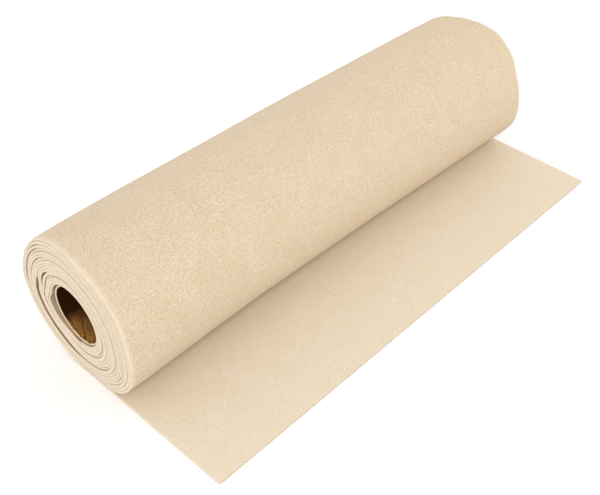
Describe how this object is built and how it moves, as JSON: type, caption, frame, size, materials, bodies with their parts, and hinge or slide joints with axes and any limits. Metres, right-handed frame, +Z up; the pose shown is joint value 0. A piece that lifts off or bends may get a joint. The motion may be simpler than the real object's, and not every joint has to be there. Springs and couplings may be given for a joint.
{
  "type": "roll of felt",
  "caption": "Roll of cream craft felt wound on a brown cardboard tube, lying on its side with the loose end laid out flat in front.",
  "frame": {"origin": "on the floor, under the middle of the whole part's box", "axes": "+Y along the roll, from the near end to the far end; +X from the roll towards the cut edge of the loose end; +Z up"},
  "size_m": [0.231, 0.5068, 0.1388],
  "materials": {
    "cream_felt": "soft matt needled felt",
    "brown_cardboard": "matt brown kraft cardboard"
  },
  "bodies": {
    "root": {"felt": "cream_felt", "core_tube": "brown_cardboard"}
  },
  "joints": []
}
